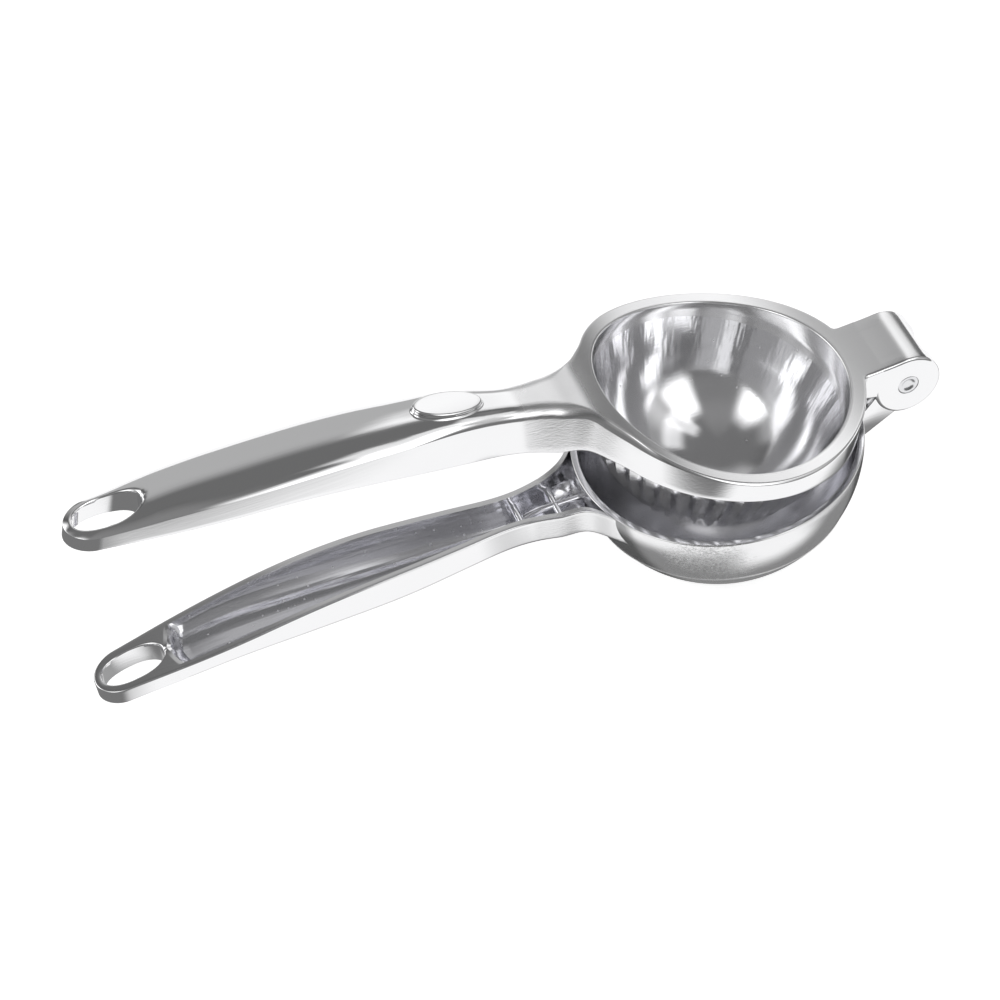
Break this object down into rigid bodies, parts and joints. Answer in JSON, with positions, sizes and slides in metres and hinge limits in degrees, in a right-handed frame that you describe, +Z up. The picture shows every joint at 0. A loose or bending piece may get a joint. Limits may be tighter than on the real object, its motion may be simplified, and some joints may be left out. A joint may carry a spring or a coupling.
{
  "type": "hinged lemon squeezer",
  "caption": "Hand lever squeezer: a fluted press cup on one arm swings on a hinge pin into a pierced juice bowl on the other arm, with hollow handles and hanging eyes.",
  "frame": {"origin": "on the middle plane, under the middle of the squeezer's length, level with the lowest point of the bowl", "axes": "+X along the handles toward the hinge, +Z up along the bowl's axis, +Y along the hinge pin"},
  "size_m": [0.215, 0.0714, 0.0785],
  "materials": {
    "bowl_casting": "die-cast zinc alloy, polished and bright plated",
    "press_casting": "die-cast zinc alloy, polished and bright plated, with a soft satin rim",
    "pin_steel": "bright steel pin, ends dished flush with the ears"
  },
  "bodies": {
    "lower": {"bowl_arm": "bowl_casting"},
    "upper": {"press_arm": "press_casting", "hinge_pin": "pin_steel"}
  },
  "joints": [
    {"name": "hinge", "type": "hinge", "parent": "lower", "child": "upper", "pos_m": [0.09905, 0, 0.04185], "axis": [0, 1, 0], "range_deg": [-13.6, 134.4]}
  ]
}
